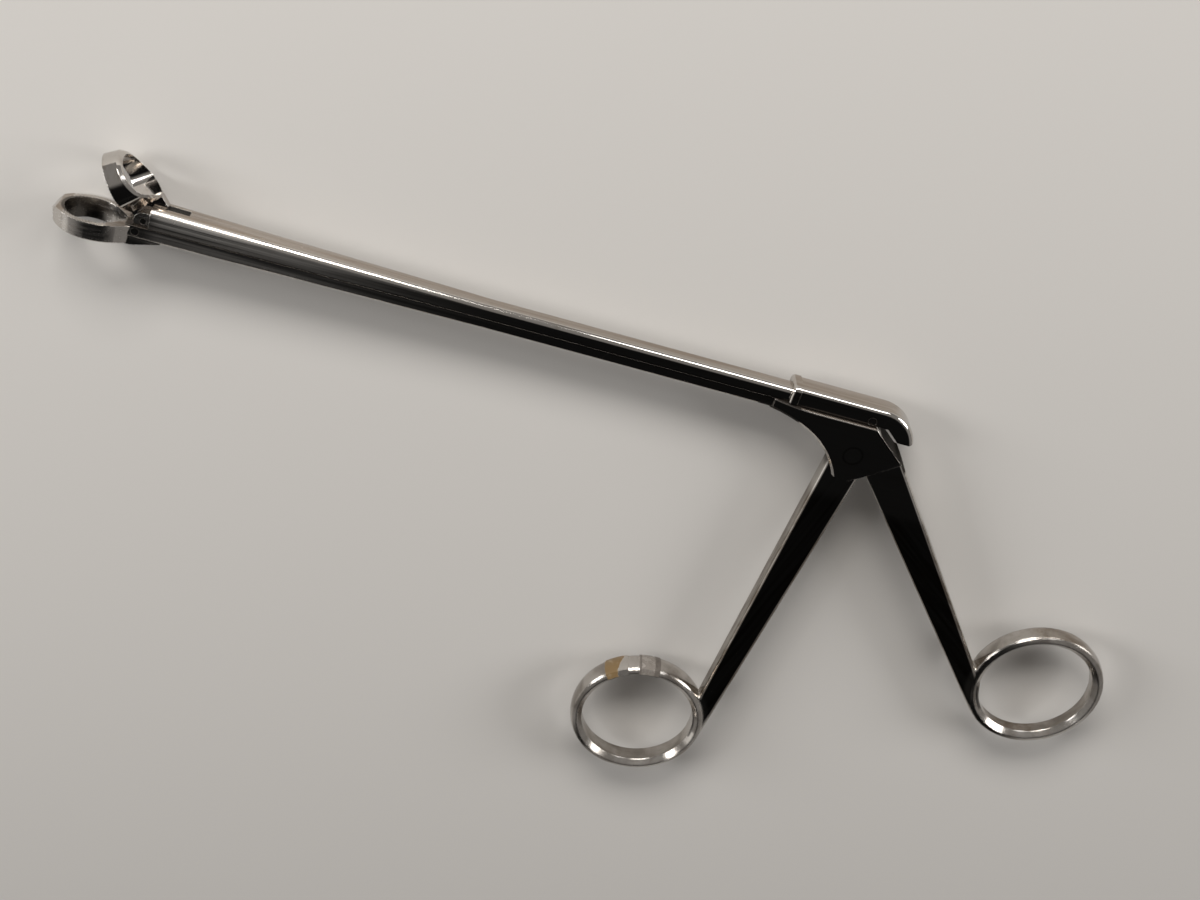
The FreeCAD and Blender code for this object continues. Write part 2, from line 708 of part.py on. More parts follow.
# The slider: upper shaft with collar, rear block and tail, forked nose and guide tongues
def slider():
    body = new_body("slider")
    bind(body, ".Placement.Base.z", middle)
    base = seam + size("seam_gap")
    front_x = jaw_pivot_x + size("slider_front")
    collar_x = -size("collar_place")
    corner = size("slider_corner")
    sections = [
        (front_x, size("shaft_nose_width"), seam + size("slider_nose_height"), corner),
        (jaw_pivot_x + size("shaft_swell"), size("shaft_width"), seam + size("slider_height"), corner),
        (collar_x + size("collar_length") / 2, size("shaft_width"), seam + size("slider_height"), corner),
    ]
    shaft_run(body, "upper_shaft", base, sections)

    # Nose arms around the link pin
    nose = size("nose_radius")
    corners = [
        (link_x - nose, base),
        (front_x + beyond, base),
        (front_x + beyond, link_y + nose),
        (link_x, link_y + nose, nose),
        (link_x - nose, link_y),
    ]
    extrude(body, "Pad", outline(sketch_on(body, "nose", "XY"), corners), size("nose_width"))

    # Rear block, whose tail curves down behind the hub
    top = base + size("block_height")
    lean = (size("hub_back_reach") - size("hub_top_back")) / size("hub_back_drop")
    inner_x = size("hub_top_back") + stroke + size("tail_gap")
    end_x = inner_x + lean * size("tail_drop")
    end_y = seam - size("tail_drop")
    radius = size("tail_radius")
    bend = size("tail_end_round")
    outer_x = end_x + size("tail_thickness")
    outer_y = end_y + bend
    centre_y = top - radius
    bend_x = outer_x - root(radius * radius - (outer_y - centre_y) * (outer_y - centre_y))
    corners = [
        (collar_x, base),
        (inner_x, base),
        (end_x, end_y),
        (outer_x - bend, end_y, bend),
        (outer_x, outer_y, radius),
        (bend_x, top),
        (collar_x, top),
    ]
    extrude(body, "Pad", outline(sketch_on(body, "block", "XY"), corners), size("block_width"))
    half_block = size("block_width") / 2
    round_edges(body, size("block_corner"), lambda edge: on_block_rim(edge, half_block, base))

    # Collar
    half = size("collar_width") / 2
    collar = sketch_on(body, "collar", "YZ", (0, 0, collar_x))
    bend = size("block_corner") + half - half_block
    collar_top = base + size("collar_height")
    corners = [
        (base, -half),
        (collar_top - bend, -half, bend),
        (collar_top, bend - half),
        (collar_top, half - bend, bend),
        (collar_top - bend, half),
        (base, half),
    ]
    extrude(body, "Pad", outline(collar, corners), size("collar_length"))
    face_x = collar_x - size("collar_length") / 2
    round_edges(body, size("collar_round"), lambda edge: on_collar(edge, face_x, base))

    # Fork for the hinged jaw's heel, pin holes, and the pocket that the lever's tongue drives
    half_fork = fork_width / 2
    fork_top = seam + size("slider_nose_height") + beyond
    cut_box(body, "slider_fork", (link_x - nose - beyond, front_x + size("fork_back")),
            (-half_fork, half_fork), fork_top, fork_top - base + beyond)
    link_hole = disc(sketch_on(body, "link_pin_hole", "XY"), link_x, link_y,
                     size("link_pin_radius") + size("pin_gap"))
    extrude(body, "Pocket", link_hole, size("cup_width"))
    drive_hole = disc(sketch_on(body, "drive_pin_hole", "XY"), half_stroke, drive_arm,
                      size("drive_pin_radius") + size("pin_gap"))
    extrude(body, "Pocket", drive_hole, size("hub_width"))
    half_tongue = size("tongue_width") / 2 + size("lever_gap")
    half_space = size("tongue_half") + size("tongue_space")
    roof = drive_arm + size("tongue_tip") + size("boss_gap")
    cut_box(body, "tongue_pocket", (half_stroke - half_space, half_stroke + half_space),
            (-half_tongue, half_tongue), roof, roof - base + beyond)

    # T-shaped guide tongues
    for name, place in (("front", "front_guide_place"), ("back", "back_guide_place")):
        start = -size(place)
        end = start + size("guide_length")
        neck_low = seam - size("guide_neck_depth")
        head_low = neck_low - size("guide_head_depth")
        for part_name, half_width, low, high in (("neck", size("guide_neck") / 2, neck_low, base),
                                                 ("head", size("guide_head") / 2, head_low, neck_low)):
            sketch = sketch_on(body, "%s_guide_%s" % (name, part_name), "XZ", (0, 0, -low))
            corners = [(start, -half_width), (end, -half_width), (end, half_width), (start, half_width)]
            extrude(body, "Pad", outline(sketch, corners), high - low, both_ways=False, backwards=True)
    return body


def on_block_rim(edge, half_block, base):
    """Side edges of the rear block along its top and tail."""
    centre = edge.CenterOfMass
    at_side = abs(abs(centre.z) - half_block.value) < 1e-6
    return at_side and centre.y > base.value + 1 and edge.Length > size("block_height").value + 0.5


def on_collar(edge, face_x, base):
    """Outer edges of the collar's front face, above its foot."""
    reach = max(abs(edge.BoundBox.ZMin), abs(edge.BoundBox.ZMax), edge.BoundBox.YMax - base.value)
    return on_level(edge, "x", face_x) and reach > size("block_width").value / 2 + 0.1 and edge.Length > 0.5


# The finger lever: boss on the screw, forked tongue above it, front handle and finger ring below
def finger_lever():
    body = new_body("finger_lever")
    bind(body, ".Placement.Base.z", middle)
    boss = disc(sketch_on(body, "boss", "XY"), 0, 0, size("boss_radius"))
    extrude(body, "Pad", boss, size("lever_width"))
    ring = (-size("front_ring_forward"), -size("front_ring_down"))
    top = (size("front_bar_place"), -size("front_bar_drop"))
    handle_bar(body, "front_bar", top, size("front_bar_angle"), 1, ring,
               (size("lever_width"), size("lever_width")))
    finger_ring(body, "finger_ring", *ring, size("finger_ring_width"))

    # Tongue, leaning back by half the swing, with an open slot for the drive pin
    lean = ((0, 0, 1), -size("handle_swing") / 2)
    half = size("tongue_half")
    bevel = size("tongue_bevel")
    tip = drive_arm + size("tongue_tip")
    tongue = sketch_on(body, "tongue", "XY", turn=lean)
    corners = [
        (-size("boss_radius") * 0.7, 0),
        (size("boss_radius") * 0.7, 0),
        (half, size("boss_radius")),
        (half, tip - bevel),
        (half - bevel, tip),
        (bevel - half, tip),
        (-half, tip - bevel),
        (-half, size("boss_radius")),
    ]
    extrude(body, "Pad", outline(tongue, corners), size("tongue_width"))
    slot = size("drive_pin_radius") + size("pin_gap")
    notch = sketch_on(body, "notch", "XY", turn=lean)
    corners = [
        (-slot, drive_arm, slot),
        (0, drive_arm - slot, slot),
        (slot, drive_arm),
        (slot, tip + beyond),
        (-slot, tip + beyond),
    ]
    extrude(body, "Pocket", outline(notch, corners), size("hub_width"))
    hole = disc(sketch_on(body, "pivot_hole", "XY"), 0, 0, size("handle_screw_radius") + size("pin_gap"))
    extrude(body, "Pocket", hole, size("hub_width"))
    return body


# The hinged cup jaw, modelled closed about its own pivot and placed open
def upper_jaw():
    body = new_body("upper_jaw")
    bind(body, ".Placement.Base.x", jaw_pivot_x)
    bind(body, ".Placement.Base.y", jaw_pivot_y)
    bind(body, ".Placement.Base.z", middle)
    bind(body, ".Placement.Rotation.Angle", -size("jaw_opening"))
    rim = rim_y - jaw_pivot_y + size("rim_gap")
    tip_x = -size("cup_length")
    wide_x = tip_x + size("cup_width") * size("upper_cup_wide_share")
    half_cup = size("cup_width") / 2
    back_x = -half_stroke - size("nose_radius") - size("jaw_back_gap")
    tip_y = rim + size("upper_cup_tip_height")
    heel_y = tip_y + (back_x - tip_x) * tan(size("upper_cup_back_slope"))
    high = heel_y * 1.5
    cup = sketch_on(body, "upper_cup", "XZ", (0, 0, -rim))
    cup_plan(cup, tip_x, wide_x, back_x, half_cup, size("upper_neck_width") / 2, size("upper_cup_fullness"))
    extrude(body, "Pad", cup, high, both_ways=False, backwards=True, taper=-size("cup_draft"))
    back_slope = size("upper_cup_back_slope")
    back = sketch_on(body, "domed_back", "YZ", (tip_y, 0, tip_x), ((0, 1, 0), back_slope))
    dome = size("upper_cup_dome_radius")
    drop = dome - root(dome * dome - size("cup_width") * size("cup_width") / 4)
    corners = [
        (-drop, -half_cup, dome),
        (-drop, half_cup),
        (high, half_cup),
        (high, -half_cup),
    ]
    extrude(body, "Pocket", outline(back, corners), size("cup_length") * 3)
    bevel_edges(body, size("upper_cup_edge_bevel"), lambda edge: on_back(edge, rim, tip_x, wide_x))
    hollow = sketch_on(body, "upper_hollow", "XZ", (0, 0, -rim))
    cup_plan(hollow, tip_x + size("upper_tip_wall"), wide_x, back_x - size("upper_cup_wall"),
             half_cup - size("upper_cup_wall"), size("jaw_stem_width") / 2, size("upper_cup_fullness"))
    extrude(body, "Pocket", hollow, high, both_ways=False, taper=-size("upper_hollow_draft"))
    cut_teeth(body, "upper_teeth", tip_x + size("teeth_from_tip"), -size("teeth_from_pivot"), rim, 1)

    # Stem: root round the pivot pin, heel round the link pin
    radius = size("jaw_root_radius")
    heel_x = -size("heel_forward")
    stem_root = size("upper_cup_wall") * 0.9
    stem = sketch_on(body, "stem", "XY")
    corners = [
        (back_x - stem_root, rim),
        (-radius, 0, radius),
        (0, -radius, radius),
        (radius, 0),
        (radius - 0.4, size("link_rise") + 0.4),
        (heel_x, size("heel_rise")),
        (back_x - stem_root, heel_y - 0.2),
    ]
    extrude(body, "Pad", outline(stem, corners), size("jaw_stem_width"))
    hole = disc(sketch_on(body, "pivot_hole", "XY"), 0, 0, size("jaw_pin_radius") + size("pin_gap"))
    extrude(body, "Pocket", hole, size("cup_width"))
    slot = size("link_pin_radius") + size("pin_gap") * 2
    near = size("link_rise")
    far = near / cos(size("jaw_opening") / 2)
    link_slot = sketch_on(body, "link_slot", "XY", turn=((0, 0, 1), size("jaw_opening") / 2))
    corners = [
        (-slot, near, slot),
        (0, near - slot, slot),
        (slot, near),
        (slot, far, slot),
        (0, far + slot, slot),
        (-slot, far),
    ]
    extrude(body, "Pocket", outline(link_slot, corners), size("cup_width"))
    return body


def on_back(edge, rim, tip_x, wide_x):
    """Edges between the cup's side wall and its domed back, but not at the neck."""
    centre = edge.CenterOfMass
    side = abs(centre.z) > 1.5 or centre.x < (tip_x.value * 2 + wide_x.value) / 3
    return side and edge.BoundBox.YMin > rim.value + 1 and edge.Length > 1.5


# A plain round pin across the instrument, its ends flush with what carries it
def cross_pin(label, x, y, radius, length):
    pin = doc.addObject("Part::Cylinder", label)
    pin.Label = label
    bind(pin, "Radius", radius)
    bind(pin, "Height", length)
    bind(pin, ".Placement.Base.x", x)
    bind(pin, ".Placement.Base.y", y)
    bind(pin, ".Placement.Base.z", middle - length / 2)
    return pin


# The pivot screw: plain end flush on the upper cheek, slotted head sunk in the lower one
def handle_screw():
    body = new_body("handle_screw")
    radius = size("handle_screw_radius")
    shank = disc(sketch_on(body, "shank", "XY"), 0, 0, radius)
    extrude(body, "Pad", shank, size("hub_width"), both_ways=False)
    head = disc(sketch_on(body, "head", "XY"), 0, 0, size("screw_head_radius"))
    extrude(body, "Pad", head, size("screw_head_depth") - size("pin_gap"), both_ways=False)
    half = size("screw_slot_width") / 2
    reach = size("screw_head_radius") + beyond
    slot = sketch_on(body, "driver_slot", "XY")
    corners = [(-reach, -half), (reach, -half), (reach, half), (-reach, half)]
    extrude(body, "Pocket", outline(slot, corners), size("screw_slot_depth"), both_ways=False, backwards=True)
    return body


# A strip of tape over the outside and both sides of the finger ring
def marking_tape(label, angle, length):
    body = new_body(label)
    turn = length / size("ring_outer_radius") * (180 / math.pi)
    bind(body, ".Placement.Base.x", -size("front_ring_forward"))
    bind(body, ".Placement.Base.y", -size("front_ring_down"))
    bind(body, ".Placement.Base.z", middle)
    bind(body, ".Placement.Rotation.Angle", angle)
    gap = size("tape_gap")
    for name, kind, grow in (("tape", "Revolution", gap + size("tape_thickness")), ("ring_space", "Groove", gap)):
        sketch = ring_section(body, name, dim(0), dim(0), size("finger_ring_width"), grow)
        feature = turn_about(body, kind, sketch)
        if kind == "Revolution":
            feature.Midplane = True
            bind(feature, "Angle", turn)
            doc.recompute()
    return body


pieces = [
    fixed_half(),
    slider(),
    finger_lever(),
    upper_jaw(),
    handle_screw(),
    cross_pin("jaw_pivot_pin", jaw_pivot_x, jaw_pivot_y, size("jaw_pin_radius"), size("shaft_nose_width") - 0.1),
    cross_pin("jaw_link_pin", link_x, link_y, size("link_pin_radius"), size("nose_width")),
    cross_pin("drive_pin", half_stroke, drive_arm, size("drive_pin_radius"), size("block_width")),
    marking_tape("amber_marking_tape", size("amber_tape_angle"), size("amber_tape_length")),
    marking_tape("grey_marking_tape", size("grey_tape_angle"), size("grey_tape_length")),
]
doc.recompute()

broken = [item.Name for item in doc.Objects if {"Invalid", "Error"} & set(item.State)]
broken += [piece.Label for piece in pieces if piece.Shape.isNull() or not piece.Shape.isValid()]
if broken:
    raise RuntimeError("not built: " + ", ".join(broken))
for piece in pieces:
    piece.Shape.exportStep("parts/%s.step" % piece.Label)
    print("%-20s %d solid(s) %9.2f mm3" % (piece.Label, len(piece.Shape.Solids), piece.Shape.Volume))
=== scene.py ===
import bpy
import json
import math
from mathutils import Matrix, Vector


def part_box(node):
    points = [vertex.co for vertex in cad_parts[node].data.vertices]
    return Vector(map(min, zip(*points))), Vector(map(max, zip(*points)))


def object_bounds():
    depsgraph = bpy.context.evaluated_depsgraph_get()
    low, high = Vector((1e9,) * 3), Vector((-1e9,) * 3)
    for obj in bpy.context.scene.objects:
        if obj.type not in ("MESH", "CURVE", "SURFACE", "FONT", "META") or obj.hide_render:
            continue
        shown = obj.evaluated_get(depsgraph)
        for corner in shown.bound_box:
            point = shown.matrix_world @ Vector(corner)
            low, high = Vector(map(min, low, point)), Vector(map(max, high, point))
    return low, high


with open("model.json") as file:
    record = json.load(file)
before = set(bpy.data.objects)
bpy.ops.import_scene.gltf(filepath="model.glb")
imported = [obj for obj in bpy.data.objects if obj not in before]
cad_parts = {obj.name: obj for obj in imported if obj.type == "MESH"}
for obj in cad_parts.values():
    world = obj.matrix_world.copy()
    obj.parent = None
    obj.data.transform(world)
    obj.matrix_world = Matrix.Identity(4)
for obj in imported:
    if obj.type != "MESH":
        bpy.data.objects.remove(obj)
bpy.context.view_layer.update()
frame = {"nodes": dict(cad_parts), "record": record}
print("frame loaded")


# One socket of a material, so that shader maths reads as a Python expression
class Wire:
    def __init__(self, finish, socket):
        self.finish = finish
        self.socket = socket

    def calc(self, operation, *others):
        return self.finish.node("ShaderNodeMath", {"operation": operation}, (self, *others))

    def __add__(self, other):
        return self.calc("ADD", other)

    def __radd__(self, other):
        return self.calc("ADD", other)

    def __sub__(self, other):
        return self.calc("SUBTRACT", other)

    def __rsub__(self, other):
        return self.finish.node("ShaderNodeMath", {"operation": "SUBTRACT"}, (other, self))

    def __mul__(self, other):
        return self.calc("MULTIPLY", other)

    def __rmul__(self, other):
        return self.calc("MULTIPLY", other)

    def __truediv__(self, other):
        return self.calc("DIVIDE", other)

    def __abs__(self):
        return self.calc("ABSOLUTE")

    def between(self, low, high):
        return self.finish.node(
            "ShaderNodeMapRange",
            {"interpolation_type": "SMOOTHSTEP"},
            {"Value": self, "From Min": low, "From Max": high},
        )


# A node tree with one method that adds any node: its type, its settings, its socket values or links
class Finish:
    def __init__(self, name, tree=None):
        if tree is None:
            self.material = bpy.data.materials.new(name)
            self.material.use_nodes = True
            tree = self.material.node_tree
            self.shader = tree.nodes["Principled BSDF"]
        self.tree = tree

    def node(self, kind, settings=None, inputs=(), output=0):
        made = self.tree.nodes.new(kind)
        for key, value in (settings or {}).items():
            setattr(made, key, value)
        pairs = inputs.items() if isinstance(inputs, dict) else enumerate(inputs)
        for key, value in pairs:
            self.feed(made.inputs[key], value)
        return Wire(self, made.outputs[output])

    def feed(self, socket, value):
        if isinstance(value, Wire):
            self.tree.links.new(value.socket, socket)
        elif isinstance(value, (tuple, list)) and len(value) == 3 and socket.type == "RGBA":
            socket.default_value = (*value, 1.0)
        else:
            socket.default_value = value

    def mix(self, factor, one, other):
        made = self.tree.nodes.new("ShaderNodeMix")
        made.data_type = "RGBA"
        self.feed(made.inputs["Factor"], factor)
        self.feed(made.inputs["A"], one)
        self.feed(made.inputs["B"], other)
        return Wire(self, made.outputs["Result"])

    def spot(self):
        return self.node("ShaderNodeTexCoord", output="Object")

    def xyz(self):
        parts = self.node("ShaderNodeSeparateXYZ", {}, (self.spot(),)).socket.node
        return [Wire(self, socket) for socket in parts.outputs]

    def noise(self, scale, detail=4.0, roughness=0.55, stretch=(1, 1, 1), turn=0.0, distortion=0.0):
        turned = self.node("ShaderNodeMapping", {}, {"Vector": self.spot(), "Rotation": (0, 0, turn)})
        placed = self.node("ShaderNodeVectorMath", {"operation": "MULTIPLY"}, (turned, stretch))
        return self.node("ShaderNodeTexNoise", {}, {
            "Vector": placed,
            "Scale": scale,
            "Detail": detail,
            "Roughness": roughness,
            "Distortion": distortion,
        })

    def straight(self):
        return self.node("ShaderNodeNewGeometry", output="Normal")

    def dot(self, one, other):
        return self.node("ShaderNodeVectorMath", {"operation": "DOT_PRODUCT"}, (one, other), output="Value")

    # One part of the surface's direction: 0 is X, 1 is Y, 2 is Z
    def facing(self, axis):
        return self.node("ShaderNodeSeparateXYZ", {}, (self.straight(),), axis)

    # Distance in metres from an axis along Z
    def awayFrom(self, centre):
        x, y = self.xyz()[:2]
        alongX = x - centre[0]
        alongY = y - centre[1]
        return (alongX * alongX + alongY * alongY).calc("SQRT")

    # How far the surface turns within a small radius: 0 on a flat, up to 1 on a sharp edge
    def edges(self, radius):
        rounded = self.node("ShaderNodeBevel", {"samples": 4}, {"Radius": radius})
        same = self.dot(rounded, self.straight())
        return rounded, (1 - same).between(0.02, 0.25)

    def bump(self, height, distance, strength=1.0, normal=None):
        inputs = {"Strength": strength, "Distance": distance, "Height": height}
        if normal is not None:
            inputs["Normal"] = normal
        return self.node("ShaderNodeBump", {}, inputs)

    # A dull layer over the finish where the mask is 1
    def cover(self, mask, tone, roughness, specular):
        dull = {"Base Color": tone, "Roughness": roughness, "Specular IOR Level": specular}
        layer = self.node("ShaderNodeBsdfPrincipled", {}, dull)
        both = self.node("ShaderNodeMixShader", {}, (mask, Wire(self, self.shader.outputs[0]), layer))
        self.feed(self.tree.nodes["Material Output"].inputs["Surface"], both)

    def set(self, **sockets):
        for key, value in sockets.items():
            self.feed(self.shader.inputs[key.replace("_", " ")], value)


def middleOf(node):
    low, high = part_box(node)
    return [(low[axis] + high[axis]) / 2 for axis in range(3)]


pins = ("handle_screw", "jaw_pivot_pin", "jaw_link_pin", "drive_pin")
pinPlaces = {pin: middleOf(pin) for pin in pins}
pinRadii = {pin: (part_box(pin)[1][0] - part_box(pin)[0][0]) / 2 for pin in pins}
pinRadii["handle_screw"] = 0.002     # its shank, which is what shows on the upper cheek
jawPivotX = pinPlaces["jaw_pivot_pin"][0]
mountPlaces = {mount["name"]: mount["pos_m"] for mount in frame["record"]["mounts"]}

# Mirror-polished stainless steel, in metres where it is a length
steel = {
    "clean": (0.60, 0.57, 0.535),
    "stainAndShade": (0.33, 0.27, 0.215),
    "dirt": (0.05, 0.04, 0.032),
    "shine": 0.075,
    "satin": 0.025,           # added on the cups, which are only ground
    "haze": 0.20,             # share of scattered light where the shaft is scratched
    "topShade": 0.85,           # painted shade: how far the faces that point up go towards the stain-and-shade tone
    "shaftGrain": 0.17,       # added in streaks on the front of the shaft
    "smear": 0.05,
    # The next tone darkens rings and handle bars: partly tarnish from handling, partly painted dark
    # reflection
    "handled": (0.17, 0.14, 0.11),
    "handledDulling": 0.11,
    "scratch": 0.10,
    "edgeRadius": 0.00011,
    "ringEdgeRadius": 0.00055,
    "edgeDulling": 0.12,
    "reliefDepth": 0.000012,
    "pinHalo": 0.00022,
    "screwRim": 0.0030,       # no lit edge round the screw within this
}

# Noise on the steel: scale, detail and roughness, then how much finer it is on X, Y and Z
steelNoise = {
    "hairlines": (1.0, 4.0, 0.7, (45, 2400, 2400)),
    "crossScratches": (1.0, 2.0, 0.6, (1600, 60, 1600)),
    "smears": (240.0, 5.0, 0.65, (1, 2.5, 1)),
    "streaks": (1.0, 5.0, 0.62, (22, 900, 900)),
    "stains": (310.0, 6.0, 0.68),
    "pits": (4200.0, 2.0, 0.5),
    "brushed": (1.0, 4.0, 0.6, (14, 1500, 1500)),
    "patches": (150.0, 4.0, 0.5),
}

# Painted shade: a near-black, dull layer over the corners, slots and tucked-in parts where shade falls
paintedShade = {"tone": (0.012, 0.010, 0.008), "most": 0.95, "roughness": 0.9, "specular": 0.05}
shadedCorners = {
    "behindHub": ((0.0080, 0.0025), 0.0058),
    "hubFoot": ((-0.0180, 0.0050), 0.0050),
}
# Painted shade also goes on the finger lever above these heights, inside the hub, and in the slot in the
# shaft's nose
leverTongue = {"from": -0.006, "full": -0.003}
noseSlot = {"halfWidth": 0.00105, "middle": 0.0042, "back": -0.1416}
jawTurn = math.radians(53)          # how far the upper jaw stands open at rest

# The line where the slider lies on the fixed half
seam = {
    "rise": 0.0074,
    "halfWidth": 0.00012,
    "fade": 0.00030,
    "back": 0.0035,
    "sliderFade": 0.003,
}
shaftGrain = {"from": -0.055, "full": -0.138}       # the shaft gets duller towards the jaws
handles = {"from": -0.010, "full": -0.014}          # below the hub the grain follows the handle
ringReach = {"full": 0.0160, "end": 0.0172}         # from the ring's axis

# Painted shade inside the lower cup, as a share of its outline in X and Z
bowlShade = {
    "centre": (-0.1602, 0.0042),
    "reach": (0.0064, 0.0060),
    "wall": (0.78, 0.84),
    "tone": (0.045, 0.038, 0.031),
}


# The turn that brings a handle's length onto the X axis
def turnOnto(ring):
    pivot = pinPlaces["handle_screw"]
    return -math.atan2(mountPlaces[ring][1] - pivot[1], mountPlaces[ring][0] - pivot[0])


# The steel of one piece. grainTurn brings its length onto the X axis, onSeam is for the shaft's two
# halves, satinFrom is the X where a cup's ground finish begins, and ring names its handle's mount.
def steelFinish(name, grainTurn=0.0, onSeam=False, nearPins=(), satinFrom=None, ring=None):
    finish = Finish(name)
    x, y, z = finish.xyz()
    below = 1 - y.between(handles["full"], handles["from"])

    def grain(pattern):
        lines = finish.noise(*pattern, grainTurn)
        if ring is None:
            return lines
        lines = lines * (1 - below)
        return lines + finish.noise(*pattern, turnOnto(ring)) * below

    hairlines = grain(steelNoise["hairlines"])
    crossScratches = finish.noise(*steelNoise["crossScratches"], grainTurn + 0.5).between(0.68, 0.74)
    smears = finish.noise(*steelNoise["smears"], grainTurn, 0.8).between(0.50, 0.80)
    streaks = grain(steelNoise["streaks"])
    stains = finish.noise(*steelNoise["stains"], distortion=1.6).between(0.58, 0.80)
    pits = finish.noise(*steelNoise["pits"]).between(0.70, 0.80)
    edgeRadius = steel["edgeRadius"]
    if "handle_screw" in nearPins:
        pastScrew = finish.awayFrom(pinPlaces["handle_screw"])
        edgeRadius = pastScrew.between(steel["screwRim"], steel["screwRim"] * 1.3) * edgeRadius
    if ring is not None:
        onRing = 1 - finish.awayFrom(mountPlaces[ring]).between(ringReach["full"], ringReach["end"])
        edgeRadius = onRing * steel["ringEdgeRadius"] + edgeRadius
    rounded, edge = finish.edges(edgeRadius)

    dirt = pits * 0.35
    for pin in nearPins:
        radius = pinRadii[pin]
        away = finish.awayFrom(pinPlaces[pin])
        halo = 1 - away.between(radius + steel["pinHalo"] * 0.5, radius + steel["pinHalo"])
        dirt = dirt.calc("MAXIMUM", halo * (0.75 + stains * 0.25))
    if onSeam:
        offSeam = abs(y - seam["rise"])
        line = 1 - offSeam.between(seam["halfWidth"], seam["fade"])
        ahead = 1 - x.between(seam["back"], seam["back"] + 0.0005)
        dirt = dirt.calc("MAXIMUM", line * ahead * 0.85)
    # Painted shade: where the near-black layer goes, in corners, in the nose slot and on the lever's top
    # inside the hub
    shadeMask = 0.0
    if ring is not None:
        offSides = 1 - abs(finish.facing(2)).between(0.80, 0.95)
        for centre, reach in shadedCorners.values():
            near = 1 - finish.awayFrom(centre).between(reach * 0.85, reach)
            shadeMask = near * offSides + shadeMask
    if onSeam:
        offMiddle = abs(z - noseSlot["middle"])
        inSlot = 1 - offMiddle.between(noseSlot["halfWidth"] * 0.9, noseSlot["halfWidth"])
        inSlot = inSlot * (1 - x.between(noseSlot["back"], noseSlot["back"] + 0.0003))
        shadeMask = inSlot * x.between(jawPivotX, jawPivotX + 0.0005) + shadeMask
    if ring is not None and not onSeam:
        shadeMask = y.between(leverTongue["from"], leverTongue["full"]) + shadeMask

    dulling = dirt * 0.15
    metal = 1.0
    if satinFrom is not None:
        dulling = dulling + (1 - x.between(satinFrom - 0.004, satinFrom)) * steel["satin"]
    if onSeam:
        forward = 1 - x.between(shaftGrain["full"], shaftGrain["from"])
        brushed = finish.noise(*steelNoise["brushed"]).between(0.35, 0.65)
        dulling = dulling + forward * (0.35 + brushed * 0.65) * steel["shaftGrain"]
        onSlider = y.between(seam["rise"], seam["rise"] + seam["sliderFade"])
        onShaft = x.between(jawPivotX + 0.001, jawPivotX + 0.005)
        scratched = forward * forward * onShaft
        haze = scratched * (0.30 + onSlider * 0.70) * (0.15 + brushed * 0.85) * (1 - dirt)
        metal = metal - haze * steel["haze"]
    tarnish = (stains * 0.40 + streaks.between(0.48, 0.70) * 0.30).calc("MINIMUM", 1.0)
    colour = finish.mix(tarnish, steel["clean"], steel["stainAndShade"])
    if onSeam:
        # Painted shade: faces that point up (+Y) are darkened towards the stain-and-shade tone, in streaks
        rubbed = finish.facing(1).between(0.85, 0.97) * (0.55 + streaks.between(0.40, 0.62) * 0.45)
        colour = finish.mix(rubbed * steel["topShade"], colour, steel["stainAndShade"])
    # Rings darkened in patches and handle bars below the hub in streaks: partly tarnish from handling,
    # partly painted dark reflection
    if ring is not None:
        patches = finish.noise(*steelNoise["patches"], distortion=0.8).between(0.34, 0.70)
        colour = finish.mix(onRing * patches * 0.6, colour, steel["handled"])
        bar = below * (1 - onRing) * (0.55 + streaks.between(0.40, 0.62) * 0.40)
        colour = finish.mix(bar, colour, steel["handled"])
        dulling = dulling + onRing * (0.4 + patches * 0.6) * steel["handledDulling"]
    # Painted shade: the inside of the lower cup is darkened towards its dark tone
    if onSeam and satinFrom is not None:
        alongX = (x - bowlShade["centre"][0]) / bowlShade["reach"][0]
        alongZ = (z - bowlShade["centre"][1]) / bowlShade["reach"][1]
        outwards = (alongX * alongX + alongZ * alongZ).calc("SQRT")
        inBowlShade = (1 - outwards.between(*bowlShade["wall"])) * (0.80 + smears * 0.15)
        colour = finish.mix(inBowlShade, colour, bowlShade["tone"])
    finish.set(
        Metallic=metal,
        Base_Color=finish.mix(dirt, colour, steel["dirt"]),
        Roughness=(steel["shine"] + smears * steel["smear"] + hairlines.between(0.5, 0.9) * steel["scratch"]
                   + edge * steel["edgeDulling"] + crossScratches * 0.08 + dulling),
    )
    relief = hairlines * 0.6 + crossScratches * 0.3 - pits * 0.8
    finish.set(Normal=finish.bump(relief, steel["reliefDepth"], 0.35, rounded))
    # Painted shade: the near-black dull layer goes over the finish where the shade mask is up
    if onSeam or ring is not None:
        mask = (shadeMask * paintedShade["most"]).calc("MINIMUM", paintedShade["most"])
        finish.cover(mask, paintedShade["tone"], paintedShade["roughness"], paintedShade["specular"])
    return finish.material


# Pin ends, turned and then ground flush: faint rings about their own axis and a dull rim
pinEnd = {
    "shine": 0.09,
    "ringPitch": 9000.0,
    "reliefDepth": 0.000008,
    "scratches": (1.0, 3.0, 0.6, (300, 2600, 2600)),
    "stains": (900.0, 4.0, 0.6),
}


